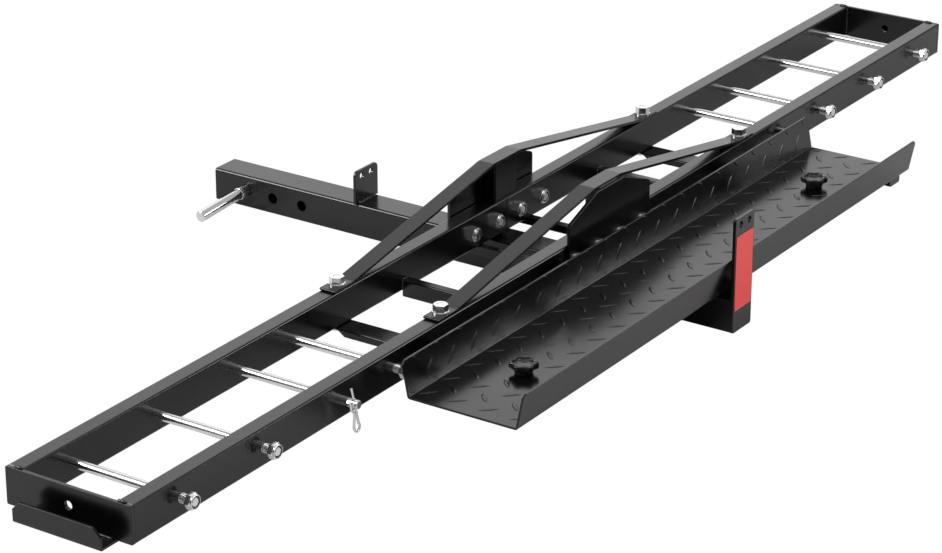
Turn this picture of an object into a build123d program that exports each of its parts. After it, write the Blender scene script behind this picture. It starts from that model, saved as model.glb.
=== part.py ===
from build123d import *
import math
import os

# Hitch-mounted motorcycle carrier with its loading ramp stowed beside the wheel channel.
# Millimetres, +Z up. Origin: centre of the middle hitch-pin hole, on the shank's own axis.
# +Y points along the shank into the receiver, +X along the wheel channel.

# ---- driving dimensions -----------------------------------------------------------------

# square hitch shank
SHANK = 50.0
SHANK_WALL = 5.0
SHANK_CORNER = 4.0
SHANK_BACK = 106.0
SHANK_FRONT = -772.0
PIN_HOLE_R = 8.2
PIN_HOLE_PITCH = 53.0

# upright plates on the shank
PLATE = 5.0
LAMP_HOLE_R = 5.0
LAMP_HOLE_SPACING = 22.6
LAMP_HOLE_DROP = 10.0
STOP_PLATE_Y = -153.0
STOP_PLATE_HEIGHT = 50.0
STOP_PLATE_WIDTH = 56.0
STOP_PLATE_CORNER = 8.0
STOP_PLATE_SHEET = 4.0
REFLECTOR_TOP = 141.0
REFLECTOR_CORNER = 3.5
TAPE_WIDTH = 45.0
TAPE_LOW = 7.5
TAPE_HIGH = 115.5
TAPE_THICK = 0.6

# wheel channel: two rails of rectangular tube, each in a left and a right half
TRACK_Y = -466.0
TRACK_HALF_WIDTH = 95.0
RAIL_WIDTH = 25.0
RAIL_HEIGHT = 50.0
RAIL_WALL = 2.5
RAIL_CORNER = 3.0
RAIL_BOTTOM = 31.0
RAIL_END = 1024.0
RAIL_RIM = 0.8
SEAM = 0.5

# cross rods through the rails
ROD_R = 6.0
ROD_PLACES = (510.0, 624.0, 783.0, 941.0)
PIN_PLACE = -624.0
ROD_HOLE_R = 6.15
ROD_STAND = 13.0
PIN_BORE_R = 6.08

# hooks on the channel's ends
HOOK_WIDTH = 132.0
HOOK_THICK = 4.0
HOOK_REACH = 27.0
HOOK_TOP = 56.0
HOOK_CORNER_CUT = 11.0
HOOK_INNER_BEND = 2.0
HOOK_Y = TRACK_Y - 3.0
END_HOLE_R = 6.0
END_PLATE_CORNER = 2.5

# cradle on top of the shank
CRADLE_HALF_BASE = 105.0
CRADLE_HALF_TOP = 34.0
CRADLE_SHOULDER = 112.0
CRADLE_TOP = 138.5
CRADLE_SHOULDER_R = 6.0
CRADLE_BAR = 12.0
CRADLE_BAR_X = 65.0
CRADLE_BOLT_PLACES = (-87.0, -28.0, 28.0, 87.0)
BOLT_R = 5.0
BOLT_HOLE_R = 5.25

# bent straps over the cradle
STRAP_THICK = 4.0
STRAP_TOP = 143.0
STRAP_BOLT_X = 389.0
STRAP_FOOT_IN = 370.0
STRAP_FOOT_OUT = 409.0
STRAP_BEND = 14.0
SPACER_LENGTH = 55.0
SPACER_WIDTH = 20.0
SPACER_WALL = 3.0
SPACER_CORNER = 2.5
SPACER_PLACES = {"near": 0.0, "far": 4.5}

# box braces between the rails
BRACE_X = 249.5
BRACE_WIDTH = 15.0
BRACE_HEIGHT = 25.0
BRACE_BOTTOM = 22.0
BRACE_WALL = 2.0
BRACE_CORNER = 2.5

# channel arms that carry the stowed ramp
ARM_X = 388.5
ARM_WIDTH = 35.0
ARM_DEPTH = 10.5
ARM_SHEET = 3.0
ARM_BACK = 92.0
ARM_FRONT = -280.0
ARM_BEVEL_TOP = 70.0
ARM_BEVEL_LOW = 58.0
ARM_BEND = 3.5

# loading ramp
RAMP_Y = TRACK_Y - 213.0
RAMP_HALF_LENGTH = 529.5
RAMP_X = -4.2
RAMP_HALF_FLOOR = 82.0
RAMP_LEAN = 10.0
RAMP_WALL = 50.0
RAMP_SHEET = 3.0
RAMP_CORNER_CUT = 6.0
RAMP_OUTER_BEND = 4.5
RAMP_INNER_BEND = 1.5
RAMP_STUD_GAP = 0.6
RAMP_HOOK_X = 492.0
RAMP_HOOK_WIDTH = 31.0
RAMP_HOOK_DEPTH = 12.3
RAMP_HOOK_HALF = 77.0
RAMP_HOOK_BEND = 4.0

# star knobs
KNOB_X = 388.5
KNOB_R = 19.6
KNOB_LOBES = 6
KNOB_WAVE = 1.8
KNOB_HEIGHT = 15.5
KNOB_BOSS_R = 12.0
KNOB_BOSS = 7.0
KNOB_DISH_R = 11.5
KNOB_DISH = 1.2
STUD_R = 4.0
STUD_LOW = 10.0
STUD_IN_KNOB = 11.0

# hitch pin and spring clip
HITCH_PIN_R = 7.95
HITCH_PIN_END = 47.0
HITCH_CLIP_X = 39.0
HITCH_CLIP_R = 2.2
HITCH_BEND_X = -34.0
HITCH_RING_R = 9.15
HITCH_RING = 2.5
HITCH_RING_PLACES = (-34.0, -38.0)
HANDLE_END = -130.0
HANDLE_DROP = 6.0
HANDLE_R = 8.2
CLIP_WIRE_R = 1.75
CLIP_HOLE_R = 2.05
CLIP_TILT = 15.0
PIN_TIP = 122.0
PIN_HEAD_R = 10.0
PIN_HEAD = 4.0
CLIP_PLACE = 114.5

# hexagon hardware: width across flats, head and nut heights, washer radius and thickness; then the
# nuts' round collar with its recess, and the drop of a bolt's end below its nut's face
M12_FLATS = 19.0
M12_HEIGHT = 7.5
M12_NUT = 9.5
M12_WASHER_R = 11.3
M10_FLATS = 18.0
M10_HEIGHT = 6.5
M10_NUT = 9.8
M10_WASHER_R = 11.2
WASHER = 2.0
NUT_GAP = 0.1
NUT_COLLAR_IN = 0.4
NUT_COLLAR = 2.5
NUT_RECESS = 1.5
NUT_RECESS_WALL = 1.2
BOLT_END_DROP = 0.3
WASHER_GAP = 0.2

# clearance between separate bodies, and the small radius on cut plate edges
GAP = 0.3
EDGE_R = 0.7

# ---- values that follow from them -------------------------------------------------------

RAIL_TOP = RAIL_BOTTOM + RAIL_HEIGHT
RAIL_MID = RAIL_BOTTOM + RAIL_HEIGHT / 2
RAIL_INNER = TRACK_HALF_WIDTH - RAIL_WIDTH
RAIL_CENTRE = TRACK_HALF_WIDTH - RAIL_WIDTH / 2
CRADLE_INNER = TRACK_HALF_WIDTH + GAP
CRADLE_OUTER = CRADLE_INNER + PLATE
RAMP_BOTTOM = RAIL_BOTTOM + GAP
FLOOR_TOP = RAMP_BOTTOM + RAMP_SHEET
SIDES = (("near", -1), ("far", 1))
ENDS = (("left", -1), ("right", 1))

os.makedirs("parts", exist_ok=True)


def save(shape, node):
    """Write one sub-part; a list becomes a group of separate solids."""
    solid = Compound(children=shape) if isinstance(shape, list) else shape
    solid.label = node
    export_step(solid, f"parts/{node}.step")


def block(x0, x1, y0, y1, z0, z1):
    """Box between two opposite corners."""
    centre = Location(((x0 + x1) / 2, (y0 + y1) / 2, (z0 + z1) / 2))
    return centre * Box(x1 - x0, y1 - y0, z1 - z0)


def rod_x(radius, x0, x1, y, z):
    """Round bar along X."""
    return Location(((x0 + x1) / 2, y, z)) * Rotation(0, 90, 0) * Cylinder(radius, x1 - x0)


def rod_y(radius, x, y0, y1, z):
    """Round bar along Y."""
    return Location((x, (y0 + y1) / 2, z)) * Rotation(90, 0, 0) * Cylinder(radius, y1 - y0)


def rod_z(radius, x, y, z0, z1):
    """Round bar along Z."""
    return Location((x, y, (z0 + z1) / 2)) * Cylinder(radius, z1 - z0)


def tube_section(width, height, wall, corner):
    """Rounded rectangular tube section."""
    inner = max(corner - wall, 0.6)
    return RectangleRounded(width, height, corner) - RectangleRounded(
        width - 2 * wall, height - 2 * wall, inner)


def extrude_y(face, y0, y1):
    """Extrude a section drawn in X and Z from y0 to y1."""
    plane = Plane(origin=(0, y0, 0), x_dir=(1, 0, 0), z_dir=(0, -1, 0))
    return extrude(plane * face, amount=y1 - y0, dir=(0, 1, 0))


def extrude_x(face, x0, x1):
    """Extrude a section drawn in Y and Z from x0 to x1."""
    plane = Plane(origin=(x0, 0, 0), x_dir=(0, 1, 0), z_dir=(1, 0, 0))
    return extrude(plane * face, amount=x1 - x0, dir=(1, 0, 0))


def hexagon(flats):
    """Hexagon by its width across flats."""
    return RegularPolygon(flats / 2, 6, major_radius=False)


def hex_y(x, y0, y1, z, flats):
    """Hexagonal prism along Y, its corners chamfered at the outer end y1."""
    length = abs(y1 - y0)
    prism = extrude(hexagon(flats), amount=length)
    cone = Location((0, 0, length / 2)) * Cone(
        flats * 0.577 + length * 1.7, flats * 0.5 + 0.2, length)
    turn = -90 if y1 > y0 else 90
    return Location((x, y0, z)) * Rotation(turn, 0, 0) * (prism & cone)


def hex_z(x, y, z0, z1, flats):
    """Hexagonal prism along Z, its corners chamfered at the outer end z1."""
    length = abs(z1 - z0)
    prism = extrude(hexagon(flats), amount=length)
    cone = Location((0, 0, length / 2)) * Cone(
        flats * 0.577 + length * 1.7, flats * 0.5 + 0.2, length)
    turn = 0 if z1 > z0 else 180
    return Location((x, y, z0)) * Rotation(turn, 0, 0) * (prism & cone)


def bolt_y(x, z, head_y, tip_y, radius, flats, height):
    """Hex bolt along Y, its head's underside at head_y and its end at tip_y."""
    away = 1 if head_y > tip_y else -1
    shaft = rod_y(radius, x, min(head_y, tip_y), max(head_y, tip_y), z)
    tip = [edge for edge in shaft.edges() if abs(edge.center().Y - tip_y) < 0.01]
    return chamfer(tip, 1.0) + hex_y(x, head_y, head_y + away * height, z, flats)


def lock_nut(bore, flats, height):
    """Lock nut standing on its seat at the origin: hexagon, round collar, recess at the collar's end."""
    collar_r = flats / 2 - NUT_COLLAR_IN
    nut = hex_z(0, 0, 0, height - NUT_COLLAR, flats) + rod_z(collar_r, 0, 0, height - NUT_COLLAR - 1, height)
    nut = fillet(nut.edges().group_by(Axis.Z)[-1], 0.6)
    nut -= rod_z(bore, 0, 0, -1, height + 1)
    return nut - rod_z(collar_r - NUT_RECESS_WALL, 0, 0, height - NUT_RECESS, height + 1)


def nut_y(x, z, seat_y, away, bore, flats, height):
    """Lock nut along Y on a seat."""
    return Location((x, seat_y, z)) * Rotation(-90 * away, 0, 0) * lock_nut(bore, flats, height)


def washer_y(x, z, seat_y, away, bore, radius):
    """Flat washer along Y on a seat."""
    low = min(seat_y, seat_y + away * WASHER)
    return rod_y(radius, x, low, low + WASHER, z) - rod_y(bore, x, low - 1, low + WASHER + 1, z)


def rounded_rims(plate, axis, keep=lambda edge: True):
    """Small radius on the outlines of a plate's two broad faces."""
    broad = plate.faces().filter_by(axis).sort_by(SortBy.AREA)[-2:]
    rims = [edge for face in broad for edge in face.outer_wire().edges() if keep(edge)]
    return fillet(rims, EDGE_R)


# ---- hitch bar --------------------------------------------------------------------------

def shank_tube():
    """Square tube with three pin holes across its receiver end."""
    section = tube_section(SHANK, SHANK, SHANK_WALL, SHANK_CORNER)
    tube = extrude_y(section, SHANK_FRONT, SHANK_BACK)
    for step in (-1, 0, 1):
        tube -= rod_x(PIN_HOLE_R, -SHANK, SHANK, step * PIN_HOLE_PITCH, 0)
    return tube


def lamp_holes(y, z):
    """Two small holes through an upright plate."""
    pair = [rod_y(LAMP_HOLE_R, side * LAMP_HOLE_SPACING / 2, y - 20, y + 20, z) for side in (-1, 1)]
    return pair[0] + pair[1]


def stop_plate():
    """Upright plate welded across the shank's top, with rounded upper corners."""
    low = SHANK / 2
    top = low + STOP_PLATE_HEIGHT
    half = STOP_PLATE_WIDTH / 2
    plate = block(-half, half, STOP_PLATE_Y, STOP_PLATE_Y + STOP_PLATE_SHEET, low, top)
    corners = [e for e in plate.edges().filter_by(Axis.Y) if e.center().Z > low + 1]
    plate = fillet(corners, STOP_PLATE_CORNER)
    plate = rounded_rims(plate, Axis.Y, lambda edge: edge.center().Z > low + 1)
    return plate - lamp_holes(STOP_PLATE_Y, top - LAMP_HOLE_DROP)


def reflector_plate():
    """Tall plate that closes the shank's outer end."""
    plate = block(-SHANK / 2, SHANK / 2, SHANK_FRONT - PLATE, SHANK_FRONT, -SHANK / 2, REFLECTOR_TOP)
    plate = fillet(plate.edges().filter_by(Axis.Y), REFLECTOR_CORNER)
    plate = rounded_rims(plate, Axis.Y)
    return plate - lamp_holes(SHANK_FRONT, REFLECTOR_TOP - LAMP_HOLE_DROP)


def reflective_tape():
    """Strip of tape on the reflector plate's outer face."""
    face = SHANK_FRONT - PLATE
    return block(-TAPE_WIDTH / 2, TAPE_WIDTH / 2, face - TAPE_THICK, face, TAPE_LOW, TAPE_HIGH)


# ---- cradle -----------------------------------------------------------------------------

def cradle_plate(side):
    """Trapezoid plate outside one rail, standing on the shank."""
    base, top = CRADLE_HALF_BASE, CRADLE_HALF_TOP
    outline = Polygon(
        (-base, SHANK / 2), (base, SHANK / 2), (base, CRADLE_SHOULDER),
        (top, CRADLE_TOP), (-top, CRADLE_TOP), (-base, CRADLE_SHOULDER), align=None)
    inner, outer = sorted((TRACK_Y + side * CRADLE_INNER, TRACK_Y + side * CRADLE_OUTER))
    plate = extrude_y(outline, inner, outer)
    shoulders = [e for e in plate.edges().filter_by(Axis.Y) if abs(e.center().Z - CRADLE_SHOULDER) < 1]
    plate = fillet(shoulders, CRADLE_SHOULDER_R)
    plate = rounded_rims(plate, Axis.Y, lambda edge: edge.center().Z > SHANK / 2 + 1)
    for x in CRADLE_BOLT_PLACES:
        plate -= rod_y(ROD_HOLE_R, x, inner - 5, outer + 5, RAIL_MID)
    return plate


def cradle_bar(end):
    """Short square bar under both rails, between the cradle plates."""
    x = end * CRADLE_BAR_X
    half = CRADLE_BAR / 2
    bar = block(x - half, x + half, TRACK_Y - CRADLE_INNER, TRACK_Y + CRADLE_INNER,
                RAIL_BOTTOM - CRADLE_BAR, RAIL_BOTTOM)
    return fillet(bar.edges().filter_by(Axis.Y), EDGE_R)


# ---- wheel channel ----------------------------------------------------------------------

def rod_holes(side, end):
    """Bores through one rail half for its cross rods and its wheel-stop pin."""
    y = TRACK_Y + side * RAIL_CENTRE
    bores = []
    for place in ROD_PLACES:
        x = end * place
        radius = PIN_BORE_R if x == PIN_PLACE else ROD_HOLE_R
        bores.append(rod_y(radius, x, y - RAIL_WIDTH, y + RAIL_WIDTH, RAIL_MID))
    for place in CRADLE_BOLT_PLACES:
        if place * end > 0:
            bores.append(rod_y(ROD_HOLE_R, place, y - RAIL_WIDTH, y + RAIL_WIDTH, RAIL_MID))
    bores.append(rod_z(BOLT_HOLE_R, end * STRAP_BOLT_X, y, RAIL_BOTTOM - 5, RAIL_TOP + 5))
    return bores


def rail(side, end):
    """One half of one rail: closed rectangular tube from the seam to the end plate."""
    centre = Location((TRACK_Y + side * RAIL_CENTRE, RAIL_MID, 0))
    section = centre * tube_section(RAIL_WIDTH, RAIL_HEIGHT, RAIL_WALL, RAIL_CORNER)
    x0, x1 = sorted((end * SEAM, end * RAIL_END))
    tube = extrude_x(section, x0, x1)
    tube = chamfer([edge for face in tube.faces().filter_by(Axis.X) for edge in face.outer_wire().edges()], RAIL_RIM)
    for bore in rod_holes(side, end):
        tube -= bore
    return tube


def end_plate(end):
    """Flat plate across the ends of both rails, with one central hole."""
    x0, x1 = sorted((end * RAIL_END, end * (RAIL_END + PLATE)))
    plate = block(x0, x1, TRACK_Y - TRACK_HALF_WIDTH, TRACK_Y + TRACK_HALF_WIDTH, RAIL_BOTTOM, RAIL_TOP)
    plate = fillet(plate.edges().filter_by(Axis.X), END_PLATE_CORNER)
    plate = rounded_rims(plate, Axis.X)
    return plate - rod_x(END_HOLE_R, x0 - 5, x1 + 5, TRACK_Y, RAIL_MID)


def end_hook(end):
    """J-shaped strip under the end plate that the ramp's hook drops over."""
    start = RAIL_END
    reach = RAIL_END + PLATE + HOOK_REACH
    low = RAIL_BOTTOM - HOOK_THICK
    leg = block(start, reach, -HOOK_WIDTH / 2, HOOK_WIDTH / 2, low, RAIL_BOTTOM)
    lip = block(reach - HOOK_THICK, reach, -HOOK_WIDTH / 2, HOOK_WIDTH / 2, low, HOOK_TOP)
    hook = leg + lip
    outer = [e for e in hook.edges().filter_by(Axis.Y) if e.center().X > reach - 0.1 and e.center().Z < low + 1]
    hook = fillet(outer, HOOK_THICK)
    inner = [e for e in hook.edges().filter_by(Axis.Y)
             if abs(e.center().X - reach + HOOK_THICK) < 0.1 and abs(e.center().Z - RAIL_BOTTOM) < 0.1]
    hook = fillet(inner, HOOK_INNER_BEND)
    corners = [e for e in hook.edges().filter_by(Axis.X) if e.center().Z > HOOK_TOP - 0.1]
    hook = chamfer(corners, HOOK_CORNER_CUT)
    hook = rounded_rims(hook, Axis.X, lambda edge: edge.center().Z > low + HOOK_THICK + 3)
    if end < 0:
        hook = mirror(hook, about=Plane.YZ)
    return Location((0, HOOK_Y, 0)) * hook


def cross_brace(end):
    """Box-section brace between the rails of one half."""
    centre = Location((end * BRACE_X, BRACE_BOTTOM + BRACE_HEIGHT / 2, 0))
    section = centre * tube_section(BRACE_WIDTH, BRACE_HEIGHT, BRACE_WALL, BRACE_CORNER)
    return extrude_y(section, TRACK_Y - RAIL_INNER, TRACK_Y + RAIL_INNER)


def rod_bolts(end):
    """Long bolts across the channel: heads outside the far rail, ends standing out of the near rail."""
    head = TRACK_Y + TRACK_HALF_WIDTH
    tip = TRACK_Y - TRACK_HALF_WIDTH - ROD_STAND - M12_NUT + BOLT_END_DROP
    places = [end * p for p in ROD_PLACES if end * p != PIN_PLACE]
    return [bolt_y(x, RAIL_MID, head, tip, ROD_R, M12_FLATS, M12_HEIGHT) for x in places]


def rod_nuts():
    """One lock nut at the end of each rod bolt, clear of the rail."""
    seat = TRACK_Y - TRACK_HALF_WIDTH - ROD_STAND
    places = [end * p for _, end in ENDS for p in ROD_PLACES if end * p != PIN_PLACE]
    return [nut_y(x, RAIL_MID, seat, -1, ROD_R + NUT_GAP, M12_FLATS, M12_NUT) for x in places]


# ---- cradle bolts -----------------------------------------------------------------------

def cradle_bolts(side):
    """Bolts through the cradle plate and the rail, heads outside."""
    head = TRACK_Y + side * (CRADLE_OUTER + WASHER)
    tip = TRACK_Y + side * (RAIL_INNER - M12_NUT + BOLT_END_DROP)
    return [bolt_y(x, RAIL_MID, head, tip, ROD_R, M12_FLATS, M12_HEIGHT) for x in CRADLE_BOLT_PLACES]


def cradle_nuts(side):
    """Lock nuts on the cradle bolts, inside the channel."""
    seat = TRACK_Y + side * RAIL_INNER
    return [nut_y(x, RAIL_MID, seat, -side, ROD_R + NUT_GAP, M12_FLATS, M12_NUT) for x in CRADLE_BOLT_PLACES]


def cradle_washers(side):
    """Washers under the cradle bolts' heads."""
    seat = TRACK_Y + side * CRADLE_OUTER
    bore = ROD_R + WASHER_GAP
    return [washer_y(x, RAIL_MID, seat, side, bore, M12_WASHER_R) for x in CRADLE_BOLT_PLACES]


# ---- straps -----------------------------------------------------------------------------

def strap(side):
    """Flat bar bent over the cradle and bolted to the rail's top at both feet."""
    foot = RAIL_TOP + STRAP_THICK / 2
    crown = STRAP_TOP - STRAP_THICK / 2
    half = [(STRAP_FOOT_OUT, foot), (STRAP_FOOT_IN, foot), (CRADLE_HALF_TOP, crown)]
    points = half + [(-x, z) for x, z in reversed(half)]
    line = FilletPolyline(*points, radius=STRAP_BEND)
    band = offset(line, amount=STRAP_THICK / 2, side=Side.BOTH, closed=True, kind=Kind.INTERSECTION)
    face = make_face(band.edges())
    y = TRACK_Y + side * RAIL_CENTRE
    bar = rounded_rims(extrude_y(face, y - RAIL_WIDTH / 2, y + RAIL_WIDTH / 2), Axis.Y)
    for end in (-1, 1):
        bar -= rod_z(BOLT_HOLE_R, end * STRAP_BOLT_X, y, RAIL_TOP - 5, RAIL_TOP + 20)
    return bar


def strap_spacer(name, side):
    """Short upright box tube between the rail's top and the strap's crown."""
    low, high = RAIL_TOP, STRAP_TOP - STRAP_THICK
    section = tube_section(SPACER_LENGTH, SPACER_WIDTH, SPACER_WALL, SPACER_CORNER)
    y = TRACK_Y + side * (TRACK_HALF_WIDTH - SPACER_WIDTH / 2)
    return Location((SPACER_PLACES[name], y, low)) * extrude(section, amount=high - low)


def strap_places():
    """Centres of the four strap bolts."""
    return [(end * STRAP_BOLT_X, TRACK_Y + side * RAIL_CENTRE) for _, side in SIDES for _, end in ENDS]


def strap_bolts():
    """Bolts up through ramp arm, rail and strap, heads under the arms' webs."""
    seat = RAIL_BOTTOM - ARM_SHEET
    tip = RAIL_TOP + STRAP_THICK + WASHER + M10_NUT - BOLT_END_DROP
    bolts = []
    for x, y in strap_places():
        shaft = rod_z(BOLT_R, x, y, seat, tip)
        shaft = chamfer([e for e in shaft.edges() if e.center().Z > tip - 0.1], 1.0)
        bolts.append(shaft + hex_z(x, y, seat, seat - M10_HEIGHT, M10_FLATS))
    return bolts


def strap_washers():
    """Washers under the strap nuts."""
    low = RAIL_TOP + STRAP_THICK
    return [rod_z(M10_WASHER_R, x, y, low, low + WASHER) - rod_z(BOLT_R + WASHER_GAP, x, y, low - 1, low + 5)
            for x, y in strap_places()]


def strap_nuts():
    """Plain hexagon nuts on top of the straps' feet."""
    seat = RAIL_TOP + STRAP_THICK + WASHER
    return [hex_z(x, y, seat, seat + M10_NUT, M10_FLATS) - rod_z(BOLT_R + NUT_GAP, x, y, seat - 1, seat + 15)
            for x, y in strap_places()]


# ---- ramp arms --------------------------------------------------------------------------

def knob_x(end):
    """Place along X of one knob, its stud and their holes."""
    return RAMP_X + end * KNOB_X


def ramp_arm(end):
    """Folded channel, open below, from under the far rail out to the stowed ramp."""
    x = end * ARM_X
    low = RAIL_BOTTOM - ARM_DEPTH
    back, front = TRACK_Y + ARM_BACK, TRACK_Y + ARM_FRONT
    arm = block(x - ARM_WIDTH / 2, x + ARM_WIDTH / 2, front, back, low, RAIL_BOTTOM)
    arm = fillet([e for e in arm.edges().filter_by(Axis.Y) if e.center().Z > low + 1], ARM_BEND)
    half = ARM_WIDTH / 2 - ARM_SHEET
    arm -= block(x - half, x + half, front - 5, back + 5, low - 5, RAIL_BOTTOM - ARM_SHEET)
    bevel = Polygon(
        (TRACK_Y + ARM_BEVEL_LOW, low - 1), (back + 5, low - 1),
        (back + 5, RAIL_BOTTOM - ARM_SHEET), (TRACK_Y + ARM_BEVEL_TOP, RAIL_BOTTOM - ARM_SHEET), align=None)
    arm -= extrude_x(bevel, x - ARM_WIDTH, x + ARM_WIDTH)
    arm -= rod_z(STUD_R + WASHER_GAP, knob_x(end), RAMP_Y, low, RAIL_BOTTOM + 5)
    for _, side in SIDES:
        arm -= rod_z(BOLT_HOLE_R, end * STRAP_BOLT_X, TRACK_Y + side * RAIL_CENTRE, low, RAIL_BOTTOM + 5)
    return arm


# ---- ramp -------------------------------------------------------------------------------

def ramp_pan():
    """Shallow U of sheet metal with outward-leaning walls."""
    top = RAMP_BOTTOM + RAMP_WALL
    side = [(RAMP_HALF_FLOOR + RAMP_LEAN, top), (RAMP_HALF_FLOOR, RAMP_BOTTOM)]
    outer = side + [(-y, z) for y, z in reversed(side)]
    slope = RAMP_LEAN / RAMP_WALL
    across = RAMP_SHEET * math.hypot(1, slope)
    floor_in = RAMP_HALF_FLOOR + slope * RAMP_SHEET - across
    inner = [(-RAMP_HALF_FLOOR - RAMP_LEAN + across, top), (-floor_in, FLOOR_TOP),
             (floor_in, FLOOR_TOP), (RAMP_HALF_FLOOR + RAMP_LEAN - across, top)]
    face = Location((RAMP_Y, 0, 0)) * Polygon(*outer, *inner, align=None)
    pan = extrude_x(face, RAMP_X - RAMP_HALF_LENGTH, RAMP_X + RAMP_HALF_LENGTH)
    outer_bends = [e for e in pan.edges().filter_by(Axis.X) if abs(e.center().Z - RAMP_BOTTOM) < 0.1]
    pan = fillet(outer_bends, RAMP_OUTER_BEND)
    inner_bends = [e for e in pan.edges().filter_by(Axis.X) if abs(e.center().Z - FLOOR_TOP) < 0.1]
    pan = fillet(inner_bends, RAMP_INNER_BEND)
    lips = [e for e in pan.edges().filter_by(Axis.X) if abs(e.center().Z - top) < 0.1]
    pan = fillet(lips, EDGE_R)
    cut = RAMP_CORNER_CUT
    for end in (-1, 1):
        tip = RAMP_X + end * RAMP_HALF_LENGTH
        corner = Polygon((tip + end, top - cut), (tip + end, top + 2), (tip - end * (cut + 2), top + 2), align=None)
        pan -= extrude_y(corner, RAMP_Y - 150, RAMP_Y + 150)
        pan -= rod_z(STUD_R + RAMP_STUD_GAP, knob_x(end), RAMP_Y, RAMP_BOTTOM - 5, FLOOR_TOP + 5)
    return pan


def ramp_hook():
    """Channel under one ramp end, closed at both ends and open below."""
    low = RAMP_BOTTOM - RAMP_HOOK_DEPTH
    x0, x1 = RAMP_HOOK_X - RAMP_HOOK_WIDTH / 2, RAMP_HOOK_X + RAMP_HOOK_WIDTH / 2
    y0, y1 = RAMP_Y - RAMP_HOOK_HALF, RAMP_Y + RAMP_HOOK_HALF
    hook = block(x0, x1, y0, y1, low, RAMP_BOTTOM)
    ends = [e for e in hook.edges().filter_by(Axis.Y) if e.center().Z < low + 0.1]
    hook = fillet(ends, RAMP_HOOK_BEND)
    sheet = RAMP_SHEET
    return hook - block(x0 + sheet, x1 - sheet, y0 + sheet, y1 - sheet, low - 5, RAMP_BOTTOM - sheet)


# ---- star knobs -------------------------------------------------------------------------

def star_outline():
    """Smooth outline with six lobes."""
    steps = 4 * KNOB_LOBES
    points = []
    for i in range(steps):
        angle = 2 * math.pi * i / steps
        radius = KNOB_R - KNOB_WAVE + KNOB_WAVE * math.cos(KNOB_LOBES * angle)
        points.append((radius * math.cos(angle), radius * math.sin(angle)))
    return make_face(Spline(*points, periodic=True))


def knob(end):
    """Six-lobed knob with a dished top, on a short boss."""
    low = FLOOR_TOP + GAP
    top = low + KNOB_HEIGHT
    boss = rod_z(KNOB_BOSS_R, 0, 0, low, low + KNOB_BOSS + 0.5)
    star = Location((0, 0, low + KNOB_BOSS)) * extrude(star_outline(), amount=KNOB_HEIGHT - KNOB_BOSS)
    star = chamfer(star.edges().group_by(Axis.Z)[-1], 1.0)
    body = boss + star - rod_z(KNOB_DISH_R, 0, 0, top - KNOB_DISH, top + 1)
    body -= rod_z(STUD_R, 0, 0, low - 5, FLOOR_TOP + STUD_IN_KNOB)
    return Location((knob_x(end), RAMP_Y, 0)) * body


def knob_stud(end):
    """Steel stud set in the knob."""
    return rod_z(STUD_R, knob_x(end), RAMP_Y, STUD_LOW, FLOOR_TOP + STUD_IN_KNOB)


# ---- loose pins and clip ----------------------------------------------------------------

def hitch_pin():
    """Round pin in the hole nearest the receiver end, with two rings and a slightly bent handle."""
    pin = rod_x(HITCH_PIN_R, HITCH_BEND_X, HITCH_PIN_END, 0, 0)
    pin = chamfer([e for e in pin.edges() if e.center().X > HITCH_PIN_END - 0.1], 2.5)
    for x in HITCH_RING_PLACES:
        pin += rod_x(HITCH_RING_R, x, x + HITCH_RING, 0, 0)
    run = HITCH_BEND_X - HANDLE_END
    tilt = math.degrees(math.atan2(HANDLE_DROP, run))
    handle = Location((-run / 2, 0, 0)) * Rotation(0, 90, 0) * Cylinder(HANDLE_R, run)
    handle = chamfer([e for e in handle.edges() if e.center().X < -run + 0.1], 1.2)
    pin += Location((HITCH_BEND_X, 0, 0)) * Rotation(0, -tilt, 0) * handle
    pin += Location((HITCH_BEND_X, 0, 0)) * Sphere(HITCH_PIN_R)
    pin -= rod_z(HITCH_CLIP_R, HITCH_CLIP_X, 0, -20, 20)
    return Location((0, PIN_HOLE_PITCH, 0)) * pin


def wheel_pin():
    """Removable cross pin: flat head outside the far rail, cross hole outside the near rail."""
    head = TRACK_Y + TRACK_HALF_WIDTH + GAP
    tip = TRACK_Y - PIN_TIP
    pin = rod_y(ROD_R, PIN_PLACE, tip, head, RAIL_MID)
    pin = chamfer([e for e in pin.edges() if e.center().Y < tip + 0.1], 1.2)
    pin += rod_y(PIN_HEAD_R, PIN_PLACE, head, head + PIN_HEAD, RAIL_MID)
    place = Location((PIN_PLACE, TRACK_Y - CLIP_PLACE, RAIL_MID)) * Rotation(0, -CLIP_TILT, 0)
    return pin - place * Cylinder(CLIP_HOLE_R, 30)


def spring_clip():
    """Hairpin clip: straight leg through the pin, eye below, second leg hugging the pin's side."""
    top = 23
    straight = [(0, top), (0, -31)]
    eye = [(4, -40), (-7.5, -40), (-10.5, -32)]
    hug = [(-3.6, -13.5), (-8, -4), (-8, 6), (-11, 11)]
    points = straight + eye + hug
    radii = [6.0, 5.5, 5.5, 10.0, 5.0, 5.0, 4.0]
    path = FilletPolyline(*[(x, 0, z) for x, z in points], radius=radii)
    ring = Plane(origin=(0, 0, top), z_dir=(0, 0, -1)) * Circle(CLIP_WIRE_R)
    wire = sweep(ring, path=path)
    return Location((PIN_PLACE, TRACK_Y - CLIP_PLACE, RAIL_MID)) * Rotation(0, -CLIP_TILT, 0) * wire


# ---- write every node -------------------------------------------------------------------

save(shank_tube(), "shank_tube")
save(stop_plate(), "stop_plate")
save(reflector_plate(), "reflector_plate")
save(reflective_tape(), "reflective_tape")

for name, side in SIDES:
    save(cradle_plate(side), f"cradle_plate_{name}")
    save(cradle_bolts(side), f"cradle_bolts_{name}")
    save(cradle_nuts(side), f"cradle_nuts_{name}")
    save(cradle_washers(side), f"cradle_washers_{name}")
    save(strap(side), f"strap_{name}")
    save(strap_spacer(name, side), f"strap_spacer_{name}")
    for half, end in ENDS:
        save(rail(side, end), f"rail_{half}_{name}")

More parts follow.
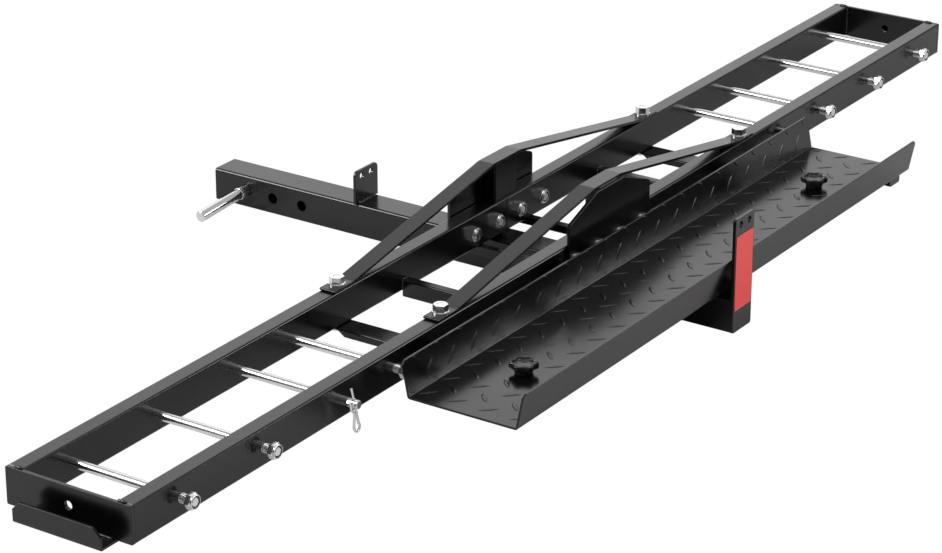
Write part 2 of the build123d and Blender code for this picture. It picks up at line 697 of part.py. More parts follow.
for half, end in ENDS:
    save(cradle_bar(end), f"cradle_bar_{half}")
    save(end_plate(end), f"end_plate_{half}")
    save(end_hook(end), f"end_hook_{half}")
    save(cross_brace(end), f"cross_brace_{half}")
    save(rod_bolts(end), f"rod_bolts_{half}")
    save(ramp_arm(end), f"ramp_arm_{half}")
    save(knob(end), f"knob_{half}")
    save(knob_stud(end), f"knob_stud_{half}")

save(rod_nuts(), "rod_nuts")
save(strap_bolts(), "strap_bolts")
save(strap_washers(), "strap_washers")
save(strap_nuts(), "strap_nuts")
save(ramp_pan(), "ramp_pan")
save(ramp_hook(), "ramp_hook")
save(hitch_pin(), "hitch_pin")
save(wheel_pin(), "wheel_pin")
save(spring_clip(), "spring_clip")
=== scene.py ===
import math

import bpy
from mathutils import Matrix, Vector, noise


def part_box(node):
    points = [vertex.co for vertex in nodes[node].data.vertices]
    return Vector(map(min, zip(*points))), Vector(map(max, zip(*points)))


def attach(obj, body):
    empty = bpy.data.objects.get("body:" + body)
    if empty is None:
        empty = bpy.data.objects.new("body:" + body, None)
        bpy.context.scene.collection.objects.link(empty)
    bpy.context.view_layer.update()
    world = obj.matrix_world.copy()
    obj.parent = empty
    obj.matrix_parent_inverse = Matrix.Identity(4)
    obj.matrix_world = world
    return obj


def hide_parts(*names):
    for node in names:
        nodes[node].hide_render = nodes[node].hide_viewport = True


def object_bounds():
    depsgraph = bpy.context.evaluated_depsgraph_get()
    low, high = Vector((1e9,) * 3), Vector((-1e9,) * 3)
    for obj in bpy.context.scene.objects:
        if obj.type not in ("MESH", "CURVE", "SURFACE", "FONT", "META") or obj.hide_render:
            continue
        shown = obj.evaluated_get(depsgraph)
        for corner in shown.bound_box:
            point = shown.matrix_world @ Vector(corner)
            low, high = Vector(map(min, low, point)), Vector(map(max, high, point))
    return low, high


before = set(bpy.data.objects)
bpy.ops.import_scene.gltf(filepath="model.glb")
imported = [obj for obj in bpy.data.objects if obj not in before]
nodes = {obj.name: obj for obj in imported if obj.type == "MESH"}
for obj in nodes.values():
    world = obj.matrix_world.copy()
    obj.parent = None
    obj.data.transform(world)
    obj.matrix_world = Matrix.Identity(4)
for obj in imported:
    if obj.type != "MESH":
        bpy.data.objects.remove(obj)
cad_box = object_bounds()

ENDS = (("left", -1), ("right", 1))
X_AXIS, Y_AXIS, Z_AXIS = Vector((1, 0, 0)), Vector((0, 1, 0)), Vector((0, 0, 1))


# ---- node helpers -----------------------------------------------------------------------

def material(name):
    """A new material with its node tree and Principled shader."""
    made = bpy.data.materials.new(name)
    made.use_nodes = True
    shader = made.node_tree.nodes["Principled BSDF"]
    return made, made.node_tree, shader


def add(tree, kind, **values):
    """A node with some of its properties or inputs set."""
    node = tree.nodes.new(kind)
    for key, value in values.items():
        if hasattr(node, key):
            setattr(node, key, value)
        else:
            node.inputs[key.replace("_", " ")].default_value = value
    return node


def place(tree, stretch=(1, 1, 1)):
    """The surface's own place in metres, stretched along some axes."""
    coords = add(tree, "ShaderNodeTexCoord")
    mapping = add(tree, "ShaderNodeMapping", Scale=stretch)
    tree.links.new(coords.outputs["Object"], mapping.inputs["Vector"])
    return mapping.outputs["Vector"]


def speckle(tree, where, scale, detail=2.0, rough=0.5):
    """Noise at a given scale."""
    node = add(tree, "ShaderNodeTexNoise", Scale=scale, Detail=detail, Roughness=rough)
    tree.links.new(where, node.inputs["Vector"])
    return node.outputs["Fac"]


def remap(tree, value, low, high, out_low, out_high):
    """Range change, clamped."""
    node = add(tree, "ShaderNodeMapRange",
               From_Min=low, From_Max=high, To_Min=out_low, To_Max=out_high)
    tree.links.new(value, node.inputs["Value"])
    return node.outputs["Result"]


def calc(tree, operation, a, b=None):
    """One math step on sockets or numbers."""
    node = add(tree, "ShaderNodeMath", operation=operation)
    for socket, value in zip(node.inputs, (a, b)):
        if value is None:
            continue
        if isinstance(value, (int, float)):
            socket.default_value = value
        else:
            tree.links.new(value, socket)
    return node.outputs[0]


def blend_colour(tree, factor, first, second):
    """Mix of two colours by a socket; either colour may be a socket."""
    node = add(tree, "ShaderNodeMix", data_type="RGBA")
    tree.links.new(factor, node.inputs["Factor"])
    colour_a, colour_b = node.inputs[6], node.inputs[7]
    for socket, value in ((colour_a, first), (colour_b, second)):
        if isinstance(value, tuple):
            socket.default_value = (*value, 1)
        else:
            tree.links.new(value, socket)
    return node.outputs[2]


def bump(tree, shader, height, distance, strength, under=None):
    """Bump with its distance in metres, on top of another bump if one is given."""
    node = add(tree, "ShaderNodeBump", Strength=strength, Distance=distance)
    tree.links.new(height, node.inputs["Height"])
    if under is not None:
        tree.links.new(under, node.inputs["Normal"])
    tree.links.new(node.outputs["Normal"], shader.inputs["Normal"])
    return node.outputs["Normal"]


def upward(tree, low, high):
    """How far a surface faces up, from 0 to 1."""
    geometry = add(tree, "ShaderNodeNewGeometry")
    split = add(tree, "ShaderNodeSeparateXYZ")
    tree.links.new(geometry.outputs["Normal"], split.inputs[0])
    return remap(tree, split.outputs["Z"], low, high, 0, 1)


# ---- materials --------------------------------------------------------------------------

COAT_BLACK = 0.0015
DUST = (0.018, 0.018, 0.017)
TAPE_REDS = (0.90, 0.030, 0.026), (1.0, 0.048, 0.040)
TAPE_LINE = (0.55, 0.012, 0.018)
TAPE_CELL = 0.0042
TAPE_LEAN = 0.75
PLASTIC_BLACKS = (0.008, 0.008, 0.008), (0.013, 0.013, 0.014)


def powder_coat(name, rough, peel=0.000012):
    """Semi-gloss black powder coat: orange peel, slow gloss changes, faint dust on upper faces."""
    made, tree, shader = material(name)
    where = place(tree)
    slow = speckle(tree, where, 7, 3)
    fine = speckle(tree, where, 520, 2, 0.55)
    wave = speckle(tree, where, 90, 2)
    dust = speckle(tree, where, 160, 8, 0.7)
    dusty = calc(tree, "MULTIPLY", remap(tree, dust, 0.58, 0.8, 0, 0.5), upward(tree, 0.3, 0.95))
    dark = (COAT_BLACK, COAT_BLACK, COAT_BLACK * 1.05)
    pale = (COAT_BLACK * 1.5, COAT_BLACK * 1.5, COAT_BLACK * 1.6)
    body = blend_colour(tree, slow, dark, pale)
    tree.links.new(blend_colour(tree, dusty, body, DUST), shader.inputs["Base Color"])
    drift = remap(tree, slow, 0.3, 0.7, rough - 0.03, rough + 0.04)
    gloss = calc(tree, "ADD", drift, calc(tree, "MULTIPLY", dusty, 0.12))
    tree.links.new(gloss, shader.inputs["Roughness"])
    first = bump(tree, shader, wave, 0.00006, 0.25)
    bump(tree, shader, fine, peel, 1.0, first)
    shader.inputs["IOR"].default_value = 1.5
    return made


def zinc(name, rough=0.14, tint=(0.84, 0.85, 0.87), grain=(1, 1, 1)):
    """Bright plated steel: soft colour shifts, fine turned grain, a little handling haze."""
    made, tree, shader = material(name)
    where = place(tree)
    along = place(tree, grain)
    slow = speckle(tree, where, 45, 3)
    lines = speckle(tree, along, 1400, 3, 0.6)
    haze = speckle(tree, where, 260, 5, 0.65)
    cool = tuple(c * k for c, k in zip(tint, (0.93, 0.96, 1.02)))
    warm = tuple(c * k for c, k in zip(tint, (1.05, 1.0, 0.92)))
    tree.links.new(blend_colour(tree, slow, cool, warm), shader.inputs["Base Color"])
    drift = remap(tree, haze, 0.35, 0.75, rough - 0.05, rough + 0.07)
    gloss = calc(tree, "ADD", drift, calc(tree, "MULTIPLY", lines, 0.05))
    tree.links.new(gloss, shader.inputs["Roughness"])
    bump(tree, shader, lines, 0.000006, 0.8)
    shader.inputs["Metallic"].default_value = 1.0
    return made


def reflective_red(name):
    """Red retroreflective tape: small diamond cells under a clear film."""
    made, tree, shader = material(name)
    where = place(tree)
    split = add(tree, "ShaderNodeSeparateXYZ")
    tree.links.new(where, split.inputs[0])

    def ridge(sign):
        """Distance from the middle of a slanting stripe, from 0 to 0.5."""
        rise = calc(tree, "MULTIPLY", split.outputs["Z"], sign * TAPE_LEAN)
        turned = calc(tree, "ADD", split.outputs["X"], rise)
        cells = calc(tree, "DIVIDE", calc(tree, "ADD", turned, 1.0), TAPE_CELL)
        return calc(tree, "ABSOLUTE", calc(tree, "SUBTRACT", calc(tree, "FRACT", cells), 0.5))

    edge = calc(tree, "MAXIMUM", ridge(1), ridge(-1))
    line = remap(tree, edge, 0.42, 0.49, 0, 1)
    cloud = speckle(tree, where, 70, 3)
    fine = speckle(tree, where, 900, 2)
    red = blend_colour(tree, cloud, *TAPE_REDS)
    tree.links.new(blend_colour(tree, line, red, TAPE_LINE), shader.inputs["Base Color"])
    tree.links.new(remap(tree, fine, 0.3, 0.7, 0.28, 0.4), shader.inputs["Roughness"])
    bump(tree, shader, line, 0.00004, 0.5)
    shader.inputs["Coat Weight"].default_value = 0.25
    shader.inputs["Coat Roughness"].default_value = 0.12
    return made


def moulded(name):
    """Black moulded plastic: fine spark-eroded texture with a soft sheen."""
    made, tree, shader = material(name)
    where = place(tree)
    fine = speckle(tree, where, 1500, 3, 0.6)
    slow = speckle(tree, where, 60, 3)
    tree.links.new(blend_colour(tree, slow, *PLASTIC_BLACKS), shader.inputs["Base Color"])
    tree.links.new(remap(tree, slow, 0.3, 0.7, 0.18, 0.27), shader.inputs["Roughness"])
    bump(tree, shader, fine, 0.00002, 0.6)
    shader.inputs["IOR"].default_value = 1.48
    return made


coat = powder_coat("powder_coat", 0.21)
coat_sheet = powder_coat("powder_coat_sheet", 0.2)
coat_weld = powder_coat("powder_coat_weld", 0.27, peel=0.00004)
plated = zinc("zinc_plated")
plated_rod = zinc("zinc_rod", grain=(1, 0.04, 1))
polished = zinc("chromed_pin", rough=0.16, tint=(0.78, 0.78, 0.79), grain=(0.04, 1, 1))
tape = reflective_red("reflective_tape")
plastic = moulded("moulded_plastic")


def finish_of(name):
    """The material of a CAD node."""
    if name == "reflective_tape":
        return tape
    if name.startswith("ramp_pan"):
        return coat_sheet
    if name == "hitch_pin":
        return polished
    if name.startswith("rod_bolts") or name == "wheel_pin":
        return plated_rod
    if any(word in name for word in ("bolts", "nuts", "washers", "clip", "stud")):
        return plated
    if name.startswith("knob"):
        return plastic
    return coat


for name, node in nodes.items():
    node.data.materials.clear()
    node.data.materials.append(finish_of(name))


# ---- mesh helpers -----------------------------------------------------------------------

JOIN_STEPS_PER_METRE = 20000


class Soup:
    """Vertices and faces gathered from many small shapes."""

    def __init__(self):
        self.verts = []
        self.faces = []

    def tube(self, rings, cap=True):
        """Quads between closed rings of points, with a face on each end ring if capped."""
        start = len(self.verts)
        width = len(rings[0])
        for ring in rings:
            self.verts.extend(tuple(p) for p in ring)
        for i in range(len(rings) - 1):
            for j in range(width):
                k = (j + 1) % width
                a, b = start + i * width, start + (i + 1) * width
                self.faces.append((a + j, a + k, b + k, b + j))
        if cap:
            self.faces.append(tuple(start + j for j in reversed(range(width))))
            last = start + (len(rings) - 1) * width
            self.faces.append(tuple(last + j for j in range(width)))


def piece(name, soup, finish, body):
    """A mesh piece that rides on a body."""
    mesh = bpy.data.meshes.new(name)
    mesh.from_pydata(soup.verts, [], soup.faces)
    mesh.validate()
    mesh.materials.append(finish)
    made = bpy.data.objects.new(name, mesh)
    bpy.context.scene.collection.objects.link(made)
    mesh.shade_smooth()
    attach(made, body)
    return made


def axes_round(along):
    """Two directions at right angles to a unit direction and to each other."""
    side = along.orthogonal().normalized()
    return side, along.cross(side)


def solids(name):
    """Boxes of the separate solids in one CAD node, in metres."""
    mesh = nodes[name].data
    spot = {}
    root = []

    def find(i):
        while root[i] != i:
            root[i] = root[root[i]]
            i = root[i]
        return i

    index = []
    for vertex in mesh.vertices:
        key = tuple(round(c * JOIN_STEPS_PER_METRE) for c in vertex.co)
        if key not in spot:
            spot[key] = len(root)
            root.append(len(root))
        index.append(spot[key])
    for polygon in mesh.polygons:
        first = find(index[polygon.vertices[0]])
        for other in polygon.vertices[1:]:
            root[find(index[other])] = first
            first = find(first)
    boxes = {}
    for vertex, i in zip(mesh.vertices, index):
        lo, hi = boxes.setdefault(find(i), (Vector(vertex.co), Vector(vertex.co)))
        for axis in range(3):
            lo[axis] = min(lo[axis], vertex.co[axis])
            hi[axis] = max(hi[axis], vertex.co[axis])
    return sorted(boxes.values(), key=lambda box: tuple(box[0]))


# ---- screw threads ----------------------------------------------------------------------

THREAD_STEPS = 20
THREAD_FADE = 6
RIDGE_HEIGHT = 0.00028
RIDGE_SUNK = 0.00005
RIDGE_ROOT = 0.0004
CREST_HALF, FLANK_HALF = 0.1, 0.42
ROD_RADIUS, ROD_PITCH, ROD_END_GAP = 0.006, 0.00175, 0.001
STUD_RADIUS, STUD_PITCH = 0.004, 0.00125
STUD_FOOT, STUD_THREAD_LENGTH = 0.0009, 0.019


def helix_ridge(soup, foot, along, radius, length, pitch):
    """A thread's raised ridge round a shaft; it fades in and out at its ends."""
    side, other = axes_round(along)
    rings = []
    count = int(length / pitch * THREAD_STEPS)
    for i in range(count + 1):
        angle = 2 * math.pi * i / THREAD_STEPS
        out = side * math.cos(angle) + other * math.sin(angle)
        fade = min(1, i / THREAD_FADE, (count - i) / THREAD_FADE)
        base = foot + along * (pitch * i / THREAD_STEPS)
        crest = radius + RIDGE_HEIGHT * fade
        section = (
            (FLANK_HALF, radius - RIDGE_SUNK), (CREST_HALF, crest), (-CREST_HALF, crest),
            (-FLANK_HALF, radius - RIDGE_SUNK), (0, radius - RIDGE_ROOT))
        rings.append([base + along * (pitch * shift) + out * reach for shift, reach in section])
    soup.tube(rings)


threads = Soup()
rail_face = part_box("rail_left_near")[0].y
nut_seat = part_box("rod_nuts")[1].y
for end, _ in ENDS:
    for lo, hi in solids(f"rod_bolts_{end}"):
        centre = (lo + hi) / 2
        helix_ridge(threads, Vector((centre.x, nut_seat, centre.z)), Y_AXIS, ROD_RADIUS,
                    rail_face - nut_seat - ROD_END_GAP, ROD_PITCH)
piece("rod_threads", threads, plated, "carrier")

for end, _ in ENDS:
    lo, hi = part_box(f"knob_stud_{end}")
    centre = (lo + hi) / 2
    stud_thread = Soup()
    helix_ridge(stud_thread, Vector((centre.x, centre.y, lo.z + STUD_FOOT)), Z_AXIS, STUD_RADIUS,
                STUD_THREAD_LENGTH, STUD_PITCH)
    piece(f"stud_thread_{end}", stud_thread, plated, f"knob_{end}")


# ---- nylon rings of the lock nuts -------------------------------------------------------

RING_STEPS = 36
RING_INNER, RING_OUTER = 0.00605, 0.00785
RING_THICK = 0.0007
RING_RECESS = 0.0007


def nylon_ring(soup, face, along):
    """A flat ring whose outer face is centred on a point and looks along a direction."""
    side, other = axes_round(along)
    section = ((RING_INNER, 0.0), (RING_OUTER, 0.0), (RING_OUTER, RING_THICK),
               (RING_INNER, RING_THICK))
    rings = []
    for k in range(RING_STEPS + 1):
        angle = 2 * math.pi * (k % RING_STEPS) / RING_STEPS
        out = side * math.cos(angle) + other * math.sin(angle)
        rings.append([face + out * reach - along * deep for reach, deep in section])
    soup.tube(rings, cap=False)


nylon = Soup()
for name, sign in (("rod_nuts", -1), ("cradle_nuts_near", 1), ("cradle_nuts_far", -1)):
    for lo, hi in solids(name):
        nut_face = lo.y if sign < 0 else hi.y
        face = Vector(((lo.x + hi.x) / 2, nut_face - sign * RING_RECESS, (lo.z + hi.z) / 2))
        nylon_ring(nylon, face, sign * Y_AXIS)
piece("nut_rings", nylon, plastic, "carrier")


# ---- weld beads -------------------------------------------------------------------------

BEAD_STEP = 0.0008
BEAD_SIDES = 10
BEAD_MIN_STEPS = 4
RIPPLE_PITCH = 0.0034
TAPER_START, TAPER_LENGTH = 0.0004, 0.003
WANDER_SCALE, WANDER = 140, 0.12

SHANK_BEAD, FRONT_BEAD, BAR_BEAD = 0.003, 0.0032, 0.0018
END_BEAD, END_TOP_BEAD, HOOK_BEAD = 0.0025, 0.0027, 0.0026
BRACE_BEAD, SPACER_BEAD, RAMP_HOOK_BEAD = 0.0022, 0.0016, 0.0024
RAMP_HOOK_BEAD_LENGTH = 0.035


def bead(soup, start, end, radius):
    """A rippled weld bead between two points."""
    start, end = Vector(start), Vector(end)
    along = (end - start).normalized()
    side, other = axes_round(along)
    length = (end - start).length
    count = max(BEAD_MIN_STEPS, int(length / BEAD_STEP))
    angles = [2 * math.pi * k / BEAD_SIDES for k in range(BEAD_SIDES)]
    rings = []
    for i in range(count + 1):
        run = length * i / count
        centre = start + along * run
        ripple = 0.88 + 0.14 * abs(math.sin(math.pi * run / RIPPLE_PITCH))
        wander = noise.noise(centre * WANDER_SCALE) * WANDER
        from_end = min(run + TAPER_START, length - run + TAPER_START) / TAPER_LENGTH
        size = radius * (ripple + wander) * math.sqrt(max(0.0, min(1.0, from_end)))
        rings.append([centre + (side * math.cos(a) + other * math.sin(a)) * size for a in angles])
    soup.tube(rings)


welds = Soup()
shank_lo, shank_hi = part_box("shank_tube")
stop_lo, stop_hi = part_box("stop_plate")
plate_lo, plate_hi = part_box("reflector_plate")
half = shank_hi.x - 0.004

# Plates that stand on the shank.
for y in (stop_lo.y, stop_hi.y):
    bead(welds, (-half, y, shank_hi.z), (half, y, shank_hi.z), SHANK_BEAD)
bead(welds, (-half, plate_hi.y, shank_hi.z), (half, plate_hi.y, shank_hi.z), FRONT_BEAD)

# Cradle plates on the shank, and the short bars between them.
for name in ("near", "far"):
    lo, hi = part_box(f"cradle_plate_{name}")
    for y in (lo.y, hi.y):
        bead(welds, (-half, y, lo.z), (half, y, lo.z), SHANK_BEAD)
    inner = hi.y if name == "near" else lo.y
    for end, _ in ENDS:
        bar_lo, bar_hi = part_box(f"cradle_bar_{end}")
        for x in (bar_lo.x, bar_hi.x):
            bead(welds, (x, inner, max(bar_lo.z, lo.z)), (x, inner, bar_hi.z), BAR_BEAD)

# End plates, end hooks and cross braces of the wheel channel.
for end, sign in ENDS:
    lo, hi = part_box(f"end_plate_{end}")
    inside, outside = (hi.x, lo.x) if sign < 0 else (lo.x, hi.x)
    for name, turn in (("near", 1), ("far", -1)):
        rail_lo, rail_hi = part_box(f"rail_{end}_{name}")
        y = rail_hi.y if turn > 0 else rail_lo.y
        bead(welds, (inside, y, rail_lo.z + 0.003), (inside, y, rail_hi.z - 0.003), END_BEAD)
        bead(welds, (inside, y - turn * 0.001, rail_hi.z), (inside, y - turn * 0.014, rail_hi.z),
             END_TOP_BEAD)
    hook_lo, hook_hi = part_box(f"end_hook_{end}")
    bead(welds, (outside, hook_lo.y + 0.004, lo.z), (outside, hook_hi.y - 0.004, lo.z), HOOK_BEAD)
    brace_lo, brace_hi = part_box(f"cross_brace_{end}")
    rail_lo, rail_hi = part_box(f"rail_{end}_near")
    for y in (brace_lo.y, brace_hi.y):
        for x in (brace_lo.x, brace_hi.x):
            bead(welds, (x, y, rail_lo.z + 0.001), (x, y, brace_hi.z - 0.001), BRACE_BEAD)
        bead(welds, (brace_lo.x + 0.001, y, brace_hi.z), (brace_hi.x - 0.001, y, brace_hi.z),
             BRACE_BEAD)

# Spacer posts under the straps.
for name in ("near", "far"):
    lo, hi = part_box(f"strap_spacer_{name}")
    for y in (lo.y + 0.0005, hi.y - 0.0005):
        bead(welds, (lo.x + 0.004, y, hi.z), (hi.x - 0.004, y, hi.z), SPACER_BEAD)
piece("welds", welds, coat_weld, "carrier")

ramp_welds = Soup()
hook_lo, hook_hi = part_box("ramp_hook")
for x in (hook_lo.x, hook_hi.x):
    for start in (hook_lo.y + 0.010, hook_hi.y - 0.045):
        bead(ramp_welds, (x, start, hook_hi.z), (x, start + RAMP_HOOK_BEAD_LENGTH, hook_hi.z),
             RAMP_HOOK_BEAD)
piece("ramp_hook_welds", ramp_welds, coat_weld, "ramp")


# ---- raised tread on the ramp -----------------------------------------------------------

BAR_WIDTH, BAR_HEIGHT = 0.0062, 0.0007
BAR_SUNK, BAR_ROOT = 0.00005, 0.0005
BAR_LENGTH_STEPS, BAR_WIDTH_STEPS = 12, 6
BLUNT_TIP, END_RISE = 0.02, 0.04
TREAD_PITCH, TREAD_OFFSET = 0.051, 0.001
TREAD_MARGIN, KNOB_CLEARANCE = 0.012, 0.0275

# Rows on the sheet: distance up the sheet, side to which the bars lean, bar length.
FLOOR_ROWS = [(offset, lean, 0.027) for offset, lean in (
    (-0.069, -1), (-0.046, 1), (-0.023, -1), (0.0, 1), (0.023, -1), (0.046, 1), (0.068, -1))]
WALL_ROWS = [(0.0200, 1, 0.029), (0.0432, -1, 0.012)]

SHEET = 0.003
WALL_SLOPE = 0.010 / 0.050
OUTER_FLOOR_HALF = 0.082


def tread_bar(soup, centre, along, across, normal, length):
    """One pointed raised bar on a sheet's face, closed below the face."""
    rings = []
    for i in range(BAR_LENGTH_STEPS + 1):
        s = -1 + 2 * i / BAR_LENGTH_STEPS
        reach = max(BLUNT_TIP, (1 - abs(s) ** 2.2)) ** 0.75
        ring = []
        spine = centre + along * (s * length / 2)
        for j in range(BAR_WIDTH_STEPS + 1):
            t = 1 - 2 * j / BAR_WIDTH_STEPS
            swell = (1 - abs(t) ** 2.4) * max(END_RISE, 1 - abs(s) ** 3.5)
            rise = BAR_HEIGHT * swell - BAR_SUNK
            ring.append(spine + across * (t * reach * BAR_WIDTH / 2) + normal * rise)
        ring.append(spine - normal * BAR_ROOT)
        rings.append(ring)
    soup.tube(rings)


def tread_rows(soup, origin, climb, normal, half_run, rows, avoid=()):
    """Rows of bars along X that lean one way and then the other; climb is up the sheet."""
    for height, lean, length in rows:
        shift = TREAD_PITCH / 2 if lean > 0 else 0.0
        steps = int(half_run * 2 / TREAD_PITCH) + 2
        for k in range(-steps // 2, steps // 2 + 1):
            x = k * TREAD_PITCH + shift + TREAD_OFFSET
            if abs(x) > half_run - TREAD_MARGIN:
                continue
            centre = origin + X_AXIS * x + climb * height
            if any((centre - point).length < KNOB_CLEARANCE for point in avoid):
                continue
            along = (X_AXIS + climb * lean).normalized()
            tread_bar(soup, centre, along, normal.cross(along), normal, length)


pan_lo, pan_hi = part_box("ramp_pan")
floor_half = OUTER_FLOOR_HALF + WALL_SLOPE * SHEET - SHEET * math.hypot(1, WALL_SLOPE)
pan_y = (pan_lo.y + pan_hi.y) / 2
floor_z = pan_lo.z + SHEET
half_run = (pan_hi.x - pan_lo.x) / 2
knob_points = []
for end, _ in ENDS:
    lo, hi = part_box(f"knob_{end}")
    knob_points.append(Vector(((lo.x + hi.x) / 2, (lo.y + hi.y) / 2, floor_z)))

tread = Soup()
tread_rows(tread, Vector((0, pan_y, floor_z)), Y_AXIS, Z_AXIS, half_run, FLOOR_ROWS, knob_points)
for sign in (1, -1):
    climb = Vector((0, sign * WALL_SLOPE, 1)).normalized()
    normal = Vector((0, -sign, WALL_SLOPE)).normalized()
    foot = Vector((0, pan_y + sign * floor_half, floor_z))
    tread_rows(tread, foot, climb, normal, half_run, WALL_ROWS)
piece("ramp_tread", tread, coat_sheet, "ramp")


# ---- knobs ------------------------------------------------------------------------------

LOBES = 6
LOBE_WAVE = 0.0018
KNOB_STEPS = 72
BOSS_HEIGHT, BOSS_RADIUS = 0.0070, 0.0119


def lobed(angle, size, wave):
    """Radius of a lobed outline."""
    return size - wave + wave * math.cos(LOBES * angle)


def knob(end):
    """Lobed knob: boss, flared skirt, rounded rim and a dished top that follows the lobes."""
    lo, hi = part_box(f"knob_{end}")
    centre = (lo + hi) / 2
    size = (hi.x - lo.x) / 2
    height = hi.z - lo.z
    boss = BOSS_HEIGHT
    profile = [  # height, share of the lobes' wave, radius
        (0.0, 0.0, 0.004), (0.0, 0.0, 0.0114), (0.0008, 0.0, BOSS_RADIUS),
        (boss - 0.0008, 0.05, BOSS_RADIUS), (boss, 0.12, 0.0125), (boss, 0.8, size - 0.0022),
        (boss + 0.0003, 0.95, size - 0.0009), (boss + 0.0010, 1.0, size - 0.0003),
        (height - 0.0040, 1.0, size - 0.0001), (height - 0.0015, 1.0, size - 0.0002),
        (height - 0.0008, 1.0, size - 0.0005), (height - 0.0003, 1.0, size - 0.0013),
        (height, 1.0, size - 0.0022), (height - 0.0003, 1.0, size - 0.0028),
        (height - 0.0020, 0.97, size - 0.0033), (height - 0.0034, 0.9, size - 0.0039),
        (height - 0.0040, 0.7, size - 0.0053), (height - 0.0041, 0.3, 0.007),
        (height - 0.0040, 0.0, 0.0035), (height - 0.0039, 0.0, 0.0004)]
    soup = Soup()
    rings = []
    for rise, lobes, radius in profile:
        ring = []
        for k in range(KNOB_STEPS):
            angle = 2 * math.pi * k / KNOB_STEPS
            reach = lobed(angle, radius, LOBE_WAVE * lobes)
            ring.append((centre.x + reach * math.cos(angle), centre.y + reach * math.sin(angle),
                         lo.z + rise))
        rings.append(ring)
    soup.tube(rings)
    made = piece(f"knob_body_{end}", soup, plastic, f"knob_{end}")
    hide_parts(f"knob_{end}")


knob("left")
knob("right")


# ---- floor, light and camera ------------------------------------------------------------

FLOOR_GREY = 0.55
FLOOR_REACH = 30
FLOOR_GAP = 0.0002

# Name, place, aim, size and power.
SOFTBOXES = (
    ("softbox_top", (-0.3, -1.1, 2.4), (0, -0.4, 0), (2.6, 1.2), 40),
    ("softbox_left", (-2.2, 2.2, 2.2), (0, -0.3, 0), (1.6, 1.6), 110),
    ("softbox_right", (2.6, -3.0, 0.9), (-0.4, -0.5, 0), (1.0, 0.8), 22))

PATCH_AZIMUTH, PATCH_ELEVATION = math.radians(57), math.radians(21)
ROOM_STRENGTH, PATCH_STRENGTH, DIM_STRENGTH = 0.5, 1.38, 0.12
PATCH_EDGE = 0.885

CAMERA_PLACE = (-3.50133, -2.68198, 1.74911)
CAMERA_DOWN, CAMERA_TURN = 23.1595, -56.1643
SENSOR_WIDTH, LENS, CLIP_END = 36, 122.366, 200


def floor_material():
    """Pale matt floor: even to the camera, grey to everything that it lights, clear from below."""
    made, tree, shader = material("studio_floor")
    tree.nodes.remove(shader)
    output = tree.nodes["Material Output"]
    glow = add(tree, "ShaderNodeEmission", Strength=1.0)
    matt = add(tree, "ShaderNodeBsdfDiffuse", Color=(FLOOR_GREY, FLOOR_GREY, FLOOR_GREY, 1))
    ray = add(tree, "ShaderNodeLightPath")
    both = add(tree, "ShaderNodeMixShader")
    tree.links.new(ray.outputs["Is Camera Ray"], both.inputs[0])
    tree.links.new(matt.outputs[0], both.inputs[1])
    tree.links.new(glow.outputs[0], both.inputs[2])
    clear = add(tree, "ShaderNodeBsdfTransparent")
    side = add(tree, "ShaderNodeNewGeometry")
    chosen = add(tree, "ShaderNodeMixShader")
    tree.links.new(side.outputs["Backfacing"], chosen.inputs[0])
    tree.links.new(both.outputs[0], chosen.inputs[1])
    tree.links.new(clear.outputs[0], chosen.inputs[2])
    tree.links.new(chosen.outputs[0], output.inputs["Surface"])
    return made


ground = bpy.data.meshes.new("floor")
level = cad_box[0].z - FLOOR_GAP
corners = [(x * FLOOR_REACH, y * FLOOR_REACH, level) for x, y in (
    (-1, -1), (1, -1), (1, 1), (-1, 1))]
ground.from_pydata(corners, [], [(0, 1, 2, 3)])
ground.materials.append(floor_material())
floor = bpy.data.objects.new("floor", ground)
bpy.context.scene.collection.objects.link(floor)


def softbox(name, spot, aim, size, power):
    """A rectangular area light aimed at a point."""
    light = bpy.data.lights.new(name, "AREA")
    light.shape = "RECTANGLE"
    light.size, light.size_y = size
    light.energy = power
    made = bpy.data.objects.new(name, light)
    made.location = spot
    made.rotation_euler = (Vector(aim) - Vector(spot)).to_track_quat("-Z", "Y").to_euler()
    bpy.context.scene.collection.objects.link(made)


for box in SOFTBOXES:
    softbox(*box)


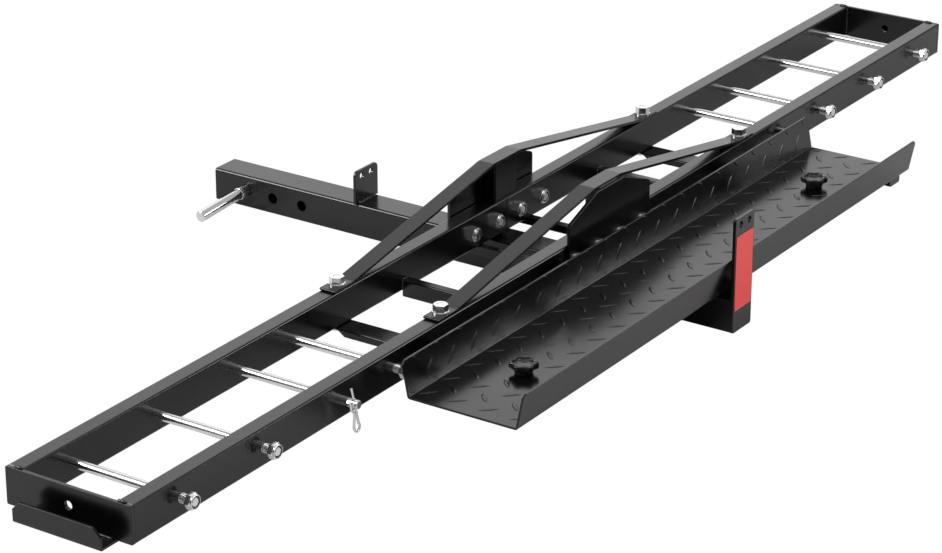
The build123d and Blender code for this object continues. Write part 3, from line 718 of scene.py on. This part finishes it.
def studio_world():
    """Soft room: a bright patch behind the object, grey elsewhere, plain white to the camera."""
    world = bpy.data.worlds.new("studio")
    bpy.context.scene.world = world
    world.use_nodes = True
    tree = world.node_tree
    back = tree.nodes["Background"]
    coords = add(tree, "ShaderNodeTexCoord")
    ahead = add(tree, "ShaderNodeVectorMath", operation="DOT_PRODUCT")
    tree.links.new(coords.outputs["Generated"], ahead.inputs[0])
    ahead.inputs[1].default_value = (
        math.sin(PATCH_AZIMUTH) * math.cos(PATCH_ELEVATION),
        math.cos(PATCH_AZIMUTH) * math.cos(PATCH_ELEVATION),
        math.sin(PATCH_ELEVATION))
    patch = remap(tree, ahead.outputs["Value"], PATCH_EDGE, 1.0, ROOM_STRENGTH, PATCH_STRENGTH)

    # Near the horizon on the left the room is dark.
    split = add(tree, "ShaderNodeSeparateXYZ")
    tree.links.new(coords.outputs["Generated"], split.inputs[0])
    low = remap(tree, calc(tree, "ABSOLUTE", split.outputs["Z"]), 0.10, 0.28, 1, 0)
    aside = remap(tree, split.outputs["X"], -0.35, -0.05, 1, 0)
    dim = remap(tree, calc(tree, "MULTIPLY", low, aside), 0, 1, 1, DIM_STRENGTH)
    tree.links.new(calc(tree, "MULTIPLY", patch, dim), back.inputs["Strength"])
    back.inputs["Color"].default_value = (1, 1, 1, 1)

    plain = add(tree, "ShaderNodeBackground", Strength=1.0)
    ray = add(tree, "ShaderNodeLightPath")
    chosen = add(tree, "ShaderNodeMixShader")
    tree.links.new(ray.outputs["Is Camera Ray"], chosen.inputs[0])
    tree.links.new(back.outputs[0], chosen.inputs[1])
    tree.links.new(plain.outputs[0], chosen.inputs[2])
    tree.links.new(chosen.outputs[0], tree.nodes["World Output"].inputs["Surface"])


studio_world()
bpy.context.scene.view_settings.view_transform = "Standard"

camera = bpy.data.objects.new("camera", bpy.data.cameras.new("camera"))
camera.data.sensor_width = SENSOR_WIDTH
camera.data.lens = LENS
camera.data.clip_end = CLIP_END
camera.location = CAMERA_PLACE
camera.rotation_euler = (math.radians(90 - CAMERA_DOWN), 0, math.radians(CAMERA_TURN))
bpy.context.scene.collection.objects.link(camera)
bpy.context.scene.camera = camera
